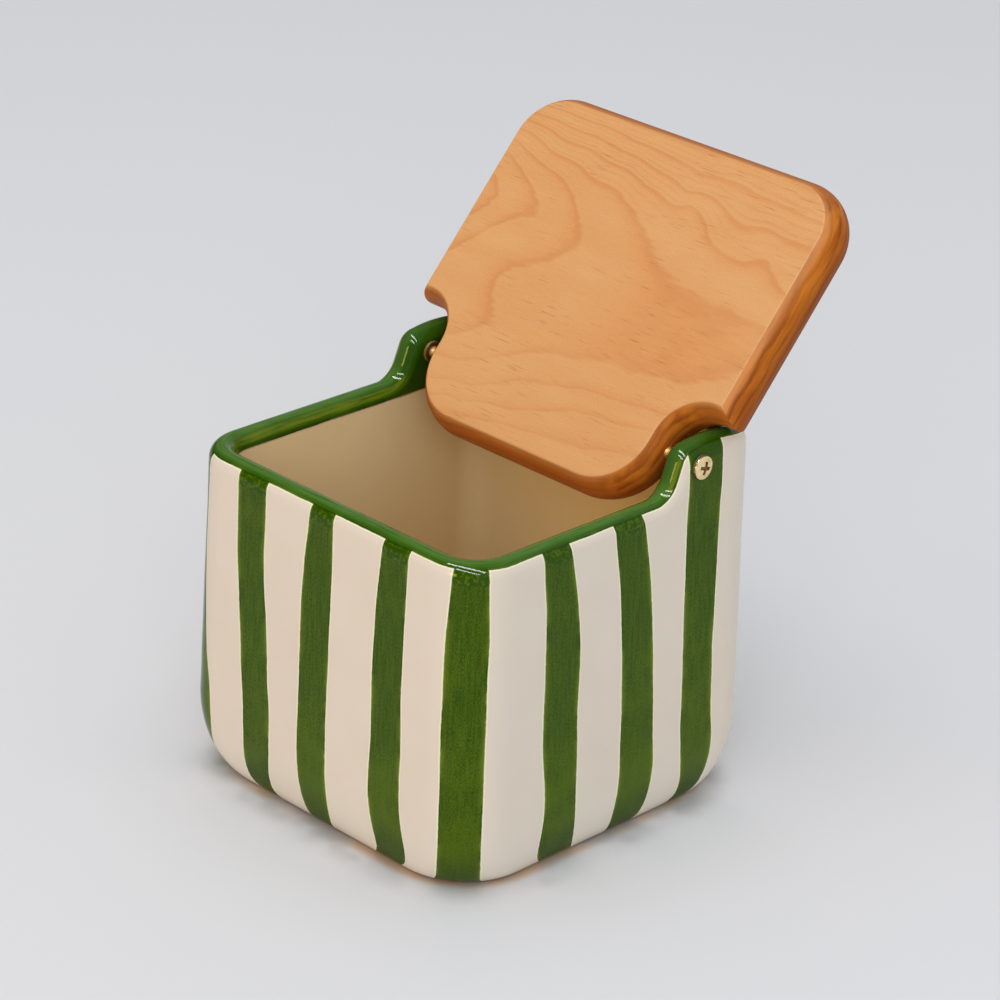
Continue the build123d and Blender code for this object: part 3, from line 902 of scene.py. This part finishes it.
def pine():
    n = Nodes(bpy.data.materials.new("pine"))
    board = n.attribute("board", "Vector")
    end_grain = n.attribute("end_grain")
    edge = n.attribute("edge")
    x, y, h = n.parts(board)

    # Each ring darkens slowly and ends at once. The saw has frayed the line a little.
    fray = n.noise(n.scaled(board, (0.10, 0.5, 0.5), (1.0, 5.0, 2.0)), 1.0, 3, 0.6)
    ring = n.math("ADD", n.attribute("ring"), n.line(fray, 0.22, -0.11))
    place = n.math("FRACT", ring)
    late = n.between(place, 0.5, 0.9, 0.9, 1.0)
    line = n.between(place, 0.78, 0.91, 0.91, 1.0)

    fibres = n.noise(n.scaled(board, (0.10, 2.6, 2.6)), 1.0, 4, 0.65)
    fleck = n.noise(n.scaled(board, (1.6, 2.4, 2.4), (5, 5, 5)), 1.0, 2, 0.7)
    tone = n.noise(n.scaled(board, (0.02, 0.08, 0.08), (9, 2, 4)), 1.0, 3, 0.55)
    light = n.mix(n.ramp(tone, 0.3, 0.7), colour(214, 158, 101), colour(211, 152, 95))
    strength = n.times(n.ramp(tone, 0.3, 0.62, 0.45, 1.0), n.ramp(y, 12, 26, 1.0, 0.6))
    face = n.mix(n.times(n.times(late, 0.8), strength), light, colour(210, 141, 82))
    line = n.times(line, n.times(strength, n.ramp(fleck, 0.35, 0.7, 0.1, 0.7)))
    face = n.mix(line, face, colour(192, 118, 64))
    narrow = n.math("FRACT", n.line(ring, 3.0, 0.4))
    narrow = n.between(narrow, 0.55, 0.85, 0.9, 1.0)
    narrow = n.times(narrow, n.ramp(y, -26, -44, 0.0, 0.32))
    face = n.mix(n.times(narrow, n.ramp(tone, 0.35, 0.6, 0.4, 1.0)), face, colour(198, 126, 70))
    face = n.mix(n.ramp(fibres, 0.45, 0.85, 0.0, 0.25), face, colour(186, 118, 64))
    face = n.mix(n.ramp(fleck, 0.45, 0.75, 0.0, 0.4), face, colour(226, 176, 120))

    # Short reddish pores lie in a broad patch near the end, and a few by the other lines.
    (middle_x, middle_y), (half_x, half_y) = PORE_PATCH
    patch_x = n.line(x, 1 / half_x, -middle_x / half_x)
    patch_y = n.line(y, 1 / half_y, -middle_y / half_y)
    patch = n.math("ADD", n.math("POWER", patch_x, 2.0), n.math("POWER", patch_y, 2.0))
    patch = n.ramp(n.line(tone, 2.4, n.math("ADD", patch, -1.2)), 1.5, 0.0)
    wide = n.noise(n.scaled(board, (0.03, 0.07, 0.07), (2, 7, 1)), 1.0, 1)
    wide = n.ramp(wide, 0.42, 0.6, 0.0, 0.8)
    pore_zone = n.math("MAXIMUM", patch, wide)
    pore_field = n.noise(n.scaled(board, (0.11, 2.2, 2.2), (4, 1, 2)), 1.0, 2, 0.5)
    pores = n.times(n.ramp(pore_field, 0.6, 0.74), pore_zone)
    face = n.mix(n.times(patch, 0.25), face, colour(208, 138, 80))
    face = n.mix(n.times(pores, 0.7), face, colour(176, 92, 46))

    # The ends soak up oil and darken, and the rings show there as soft wavy brown bands.
    # Painted shade darkens the ends further towards the lid's top, and near the underside at the
    # far ends a paler sanded facet carries a painted highlight.
    end_tone = n.noise(n.scaled(board, (0.3, 0.05, 0.4), (3, 3, 3)), 1.0, 2)
    end_colour_and_shade = n.mix(n.ramp(end_tone, 0.35, 0.65), colour(198, 113, 30), colour(168, 85, 14))
    # Painted shade: the ends are darker towards the lid's top.
    end_colour_and_shade = n.mix(n.ramp(h, 3.0, 13.0), end_colour_and_shade, colour(142, 70, 14))
    # A paler sanded facet with a painted highlight, near the underside at the far ends.
    far_out = n.ramp(n.math("ABSOLUTE", x), LID_HALF_WIDTH - 9, LID_HALF_WIDTH - 3)
    sanded_and_highlight = n.times(n.ramp(h, 3.0, 0.5), far_out)
    end_colour_and_shade = n.mix(n.times(sanded_and_highlight, 0.4), end_colour_and_shade, colour(216, 154, 100))
    waver = n.noise(n.scaled(board, (0.05, 0.045, 0.05), (6, 1, 8)), 1.0, 2, 0.5)
    level = n.line(waver, 1.8, n.times(h, 1 / END_RING))
    end_place = n.math("FRACT", n.line(fray, 0.25, level))
    end_band = n.between(end_place, 0.4, 0.86, 0.88, 1.0)
    end_band = n.times(end_band, n.ramp(end_tone, 0.3, 0.7, 0.3, 0.7))
    end_band = n.times(end_band, n.ramp(h, 0.4, 2.0, 0.3, 1.0))
    end_face = n.mix(end_band, end_colour_and_shade, colour(116, 58, 18))
    on_end = n.times(n.ramp(end_grain, 0.25, 0.7), n.ramp(edge, 0.05, 0.4))
    on_edge = n.ramp(edge, 0.08, 0.5)
    # The edges are coloured much darker than the face: partly the wood's own colour, partly painted
    # shade.
    side = n.mix(n.times(late, 0.45), colour(168, 86, 8), colour(128, 58, 2))
    final = n.mix(n.times(on_edge, 0.9), face, side)
    final = n.mix(on_end, final, end_face)

    relief = n.line(pores, -0.25, n.times(fibres, 0.35))
    rough = n.line(fibres, 0.15, n.ramp(edge, 0.1, 0.7, 0.46, 0.4))
    return n.surface(
        base_color=final, roughness=rough, ior_level=0.08, normal=n.bump(relief, 0.00012)
    )


def from_axis(n):
    """Distance from the hinge axis, and along it from the middle of the box, in millimetres."""
    position = n.coordinates()
    x, y, z = n.parts(n.scaled(position, (1 / MM, 1 / MM, 1 / MM)))
    y = n.math("POWER", n.math("SUBTRACT", y, PIVOT[0]), 2.0)
    z = n.math("POWER", n.math("SUBTRACT", z, PIVOT[1]), 2.0)
    radius = n.math("SQRT", n.math("ADD", y, z))
    return position, radius, n.math("ABSOLUTE", x)


def brass():
    """Brass, with painted shade darkening the cross recess and the part further in."""
    n = Nodes(bpy.data.materials.new("brass"))
    position, radius, out = from_axis(n)
    tarnish = n.noise(position, 500, 3, 0.6)
    turning = n.noise(n.scaled(position, (0.4, 1, 1)), 2600, 2)
    tone = n.mix(n.ramp(tarnish, 0.35, 0.7), colour(252, 232, 186), colour(236, 204, 140))
    crown = n.line(n.math("POWER", radius, 2.0), -HEAD_CROWN / HEAD_RADIUS**2, HEAD_TOP)
    sunk = n.ramp(n.math("SUBTRACT", crown, out), 0.1, 0.35)
    in_recess = n.times(n.ramp(radius, 2.2, 2.1), n.ramp(out, HEAD_TOP - 1.2, HEAD_TOP - 1.1))
    # Painted shade: the cross recess is darkened.
    recess_shade = n.times(sunk, in_recess)
    tone = n.mix(n.times(recess_shade, 0.85), tone, colour(96, 44, 16))
    # Painted shade: the screw is darker brass further in, between the ear and the lid.
    shaft_shade = n.ramp(out, *SHAFT_SHADE_X)
    tone = n.mix(n.times(shaft_shade, 0.9), tone, colour(140, 94, 34))
    rough = n.line(tarnish, 0.14, n.ramp(recess_shade, 0.2, 0.8, 0.2, 0.5))
    rough = n.line(shaft_shade, 0.3, rough)
    return n.surface(
        base_color=tone, metallic=n.ramp(shaft_shade, 0.0, 1.0, 1.0, 0.7), roughness=rough,
        normal=n.bump(turning, 0.00003)
    )


def nylon():
    """Sleeve: brown, golden at the flange's rim as a painted highlight."""
    n = Nodes(bpy.data.materials.new("nylon"))
    position, radius, _ = from_axis(n)
    cloud = n.noise(position, 420, 3)
    dark = n.mix(cloud, colour(46, 26, 8), colour(74, 44, 16))
    # Painted highlight: golden at the flange's rim.
    rim = n.mix(cloud, colour(104, 78, 18), colour(144, 112, 36))
    tone = n.mix(n.ramp(radius, 3.0, 3.3), dark, rim)
    rough = n.line(cloud, 0.2, 0.3)
    return n.surface(base_color=tone, roughness=rough, normal=n.bump(cloud, 0.00004))


def fibre():
    n = Nodes(bpy.data.materials.new("fibre"))
    position = n.coordinates()
    strands = n.noise(position, 1800, 4, 0.7)
    tone = n.mix(strands, colour(40, 30, 12), colour(78, 58, 26))
    return n.surface(base_color=tone, roughness=0.8, normal=n.bump(strands, 0.00006))


def paper():
    """Floor: pale seamless paper, a little darker far behind the box as painted shade, with a
    painted warm bounce light and a painted shadow beside its foot.
    """
    n = Nodes(bpy.data.materials.new("paper"))
    position = n.coordinates()
    away_x, away_y, _ = n.parts(n.scaled(position, (-0.7, 0.7, 0)))
    away = n.math("ADD", away_x, away_y)
    fleck = n.noise(position, 300, 3)
    # Painted shade: the floor is a little darker further behind the box.
    tone = n.mix(n.ramp(away, -0.5, 2.2), colour(221, 220, 223), colour(211, 210, 213))
    tone = n.mix(n.times(fleck, 0.02), tone, colour(190, 190, 194))
    beyond = n.times(n.from_foot(position), 1 / MM)
    blots = n.noise(position, 45, 2, 0.6)
    # Painted light: a warm glow of bounced light on the floor beside the foot.
    painted_bounce_glow = n.times(n.ramp(beyond, 6.5, 2.5), n.ramp(blots, 0.38, 0.6, 0.1, 0.75))
    tone = n.mix(painted_bounce_glow, tone, colour(204, 164, 118))
    # Painted shadow: darker pools on the floor beside the foot.
    painted_contact_shadow = n.times(n.ramp(beyond, 16.0, 2.0), n.ramp(blots, 0.6, 0.35, 0.15, 0.6))
    tone = n.mix(painted_contact_shadow, tone, colour(120, 108, 98))
    material = n.surface(base_color=tone, roughness=0.9, ior_level=0.02)

    # Seen from a low angle, the far floor fades into the colour of the world behind it.
    distance = n.vector_math("LENGTH", position)
    seen = n.add("LightPath").outputs["Is Camera Ray"]
    haze = n.add("Emission")
    haze.inputs["Color"].default_value = (*HORIZON, 1)
    either = n.add("MixShader")
    n.put(either.inputs[0], n.times(n.ramp(distance, 1.2, 3.0), seen))
    n.put(either.inputs[1], n.tree.nodes["Principled BSDF"].outputs[0])
    n.put(either.inputs[2], haze.outputs[0])
    n.put(n.tree.nodes["Material Output"].inputs["Surface"], either.outputs[0])
    return material


# ================================================================ stage, lights, camera
FLOOR_HALF = 6.0
WORLD_STRENGTH = 0.715
WORLD_LIGHT = (0.95, 1.0, 0.97)    # what lights the object
HORIZON = (0.62, 0.63, 0.65)       # what the camera sees past the floor
ROOM_DIM = (0.12, 0.12, 0.12)      # what the glaze and brass mirror
ROOM_PALE = (1.1, 1.14, 1.2)
ROOM_PALE_WAY = (0.6, 0.6, -0.5)
LAMP_AIM = (0, 0, 0.06)
LAMPS = (                          # name, place, size, power and tint
    ("overhead", (0, 0, 1.6), (1.2, 1.2), 6.1, (0.82, 0.84, 1.0)),
    ("camera_side", (1.5, -1.6, 1.2), (1.4, 1.2), 15.3, (0.97, 1.0, 0.97)),
    ("warm_front", (-0.2, -2.0, 0.8), (1.2, 1.0), 6.6, (1.0, 0.5, 0.12)),
    ("cool_side", (2.0, -0.9, 1.0), (1.4, 1.4), 2.5, (0.1, 0.35, 1.0)),
    ("behind", (-1.5, 1.5, 1.0), (1.4, 1.4), 2.1, (1.0, 0.66, 0.8)),
)
STRIPS = (                         # name, both ends, width, radiance and tint
    ("strip_a", (-0.8, -0.55, 2.0), (2.2, -0.8, 2.0), 0.26, 60, (0.95, 1, 1)),
    ("strip_b", (0.0, -1.5, 2.0), (2.9, -1.9, 2.0), 0.26, 60, (0.95, 1, 1)),
    ("warm_strip", (0.25, -2.0, 0.1), (0.25, -2.0, 0.75), 0.5, 24, (1.0, 0.75, 0.2)),
)
STRIP_AIM = (0, 0, 0.1)


def add_floor():
    corners = [(x * FLOOR_HALF, y * FLOOR_HALF, 0) for x, y in ((-1, -1), (1, -1), (1, 1), (-1, 1))]
    mesh = bpy.data.meshes.new("floor")
    mesh.from_pydata(corners, [], [(0, 1, 2, 3)])
    floor = new_object("floor", mesh)
    mesh.materials.append(paper())


def add_lamp(name, place, aim, size, power, tint):
    """A rectangular lamp, with its place and aim in metres."""
    data = bpy.data.lights.new(name, "AREA")
    data.shape = "RECTANGLE"
    data.size, data.size_y = size
    data.energy = power
    data.color = tint
    lamp = bpy.data.objects.new(name, data)
    bpy.context.scene.collection.objects.link(lamp)
    lamp.location = place
    lamp.rotation_euler = (Vector(aim) - Vector(place)).to_track_quat("-Z", "Y").to_euler()
    return lamp


def add_strip(name, start, end, width, radiance, tint):
    """A long lamp between two points, which is seen only as a streak on the glaze and brass."""
    start = Vector(start)
    end = Vector(end)
    middle = (start + end) / 2
    length = (end - start).length
    area = width * length
    strip = add_lamp(name, middle, STRIP_AIM, (length, width), radiance * pi * area, tint)
    along = (end - start).normalized()
    away = (middle - Vector(STRIP_AIM)).normalized()
    across = away.cross(along).normalized()
    away = along.cross(across)
    turned = Matrix((along, across, away)).transposed().to_4x4()
    strip.matrix_world = Matrix.Translation(middle) @ turned
    strip.visible_diffuse = False
    return strip


def add_light():
    world = bpy.data.worlds.new("studio")
    bpy.context.scene.world = world
    n = Nodes(world)
    # Reflections see a room that is dim overhead and to the left in front, and pale elsewhere.
    facing = n.vector_math("DOT_PRODUCT", n.coordinates("Generated"), ROOM_PALE_WAY)
    room = n.mix(n.ramp(facing, -0.35, 0.1, shape="LINEAR"), ROOM_DIM, ROOM_PALE)
    path = n.add("LightPath").outputs
    seen = n.mix(path["Is Glossy Ray"], WORLD_LIGHT, room)
    horizon = [part / WORLD_STRENGTH for part in HORIZON]
    background = n.tree.nodes["Background"]
    n.put(background.inputs["Color"], n.mix(path["Is Camera Ray"], seen, horizon))
    background.inputs["Strength"].default_value = WORLD_STRENGTH
    for name, place, size, power, tint in LAMPS:
        add_lamp(name, place, LAMP_AIM, size, power, tint).visible_glossy = False
    for strip in STRIPS:
        add_strip(*strip)


def add_camera():
    azimuth = radians(CAMERA_AZIMUTH)
    elevation = radians(CAMERA_ELEVATION)
    roll = radians(CAMERA_ROLL)
    back = Vector((sin(azimuth) * cos(elevation), -cos(azimuth) * cos(elevation), sin(elevation)))
    level_right = Vector((cos(azimuth), sin(azimuth), 0))
    level_up = back.cross(level_right)
    right = cos(roll) * level_right + sin(roll) * level_up
    up = -sin(roll) * level_right + cos(roll) * level_up
    per_pixel = CAMERA_DISTANCE / FOCAL_PIXELS
    place = (
        Vector(CAMERA_AIM)
        - (AIM_PIXEL[0] - PICTURE / 2) * per_pixel * right
        + (AIM_PIXEL[1] - PICTURE / 2) * per_pixel * up
        + CAMERA_DISTANCE * back
    )
    data = bpy.data.cameras.new("camera")
    data.sensor_width = SENSOR
    data.lens = FOCAL_PIXELS * SENSOR / PICTURE
    data.clip_start = 0.01
    camera = bpy.data.objects.new("camera", data)
    bpy.context.scene.collection.objects.link(camera)
    turned = Matrix((right, up, back)).transposed().to_4x4()
    camera.matrix_world = Matrix.Translation(place * MM) @ turned
    bpy.context.scene.camera = camera


# ================================================================ build
def finish_piece(piece, body, material, slot, *nodes):
    piece.data.materials.clear()
    piece.data.materials.append(material)
    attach(piece, body)
    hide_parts(*nodes)


finish_piece(make_ceramic(), "box", glaze(), "glaze", "ceramic_body")
finish_piece(make_lid(), "lid", pine(), "pine", "lid")
for kind, make in (("pivot_screw", brass), ("pivot_bush", nylon), ("head_washer", fibre)):
    material = make()
    for hand in ("right", "left"):
        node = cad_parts[kind + "_" + hand]
        node.material_slots[0].material = material

add_floor()
add_light()
add_camera()
bpy.context.scene.view_settings.view_transform = "Standard"
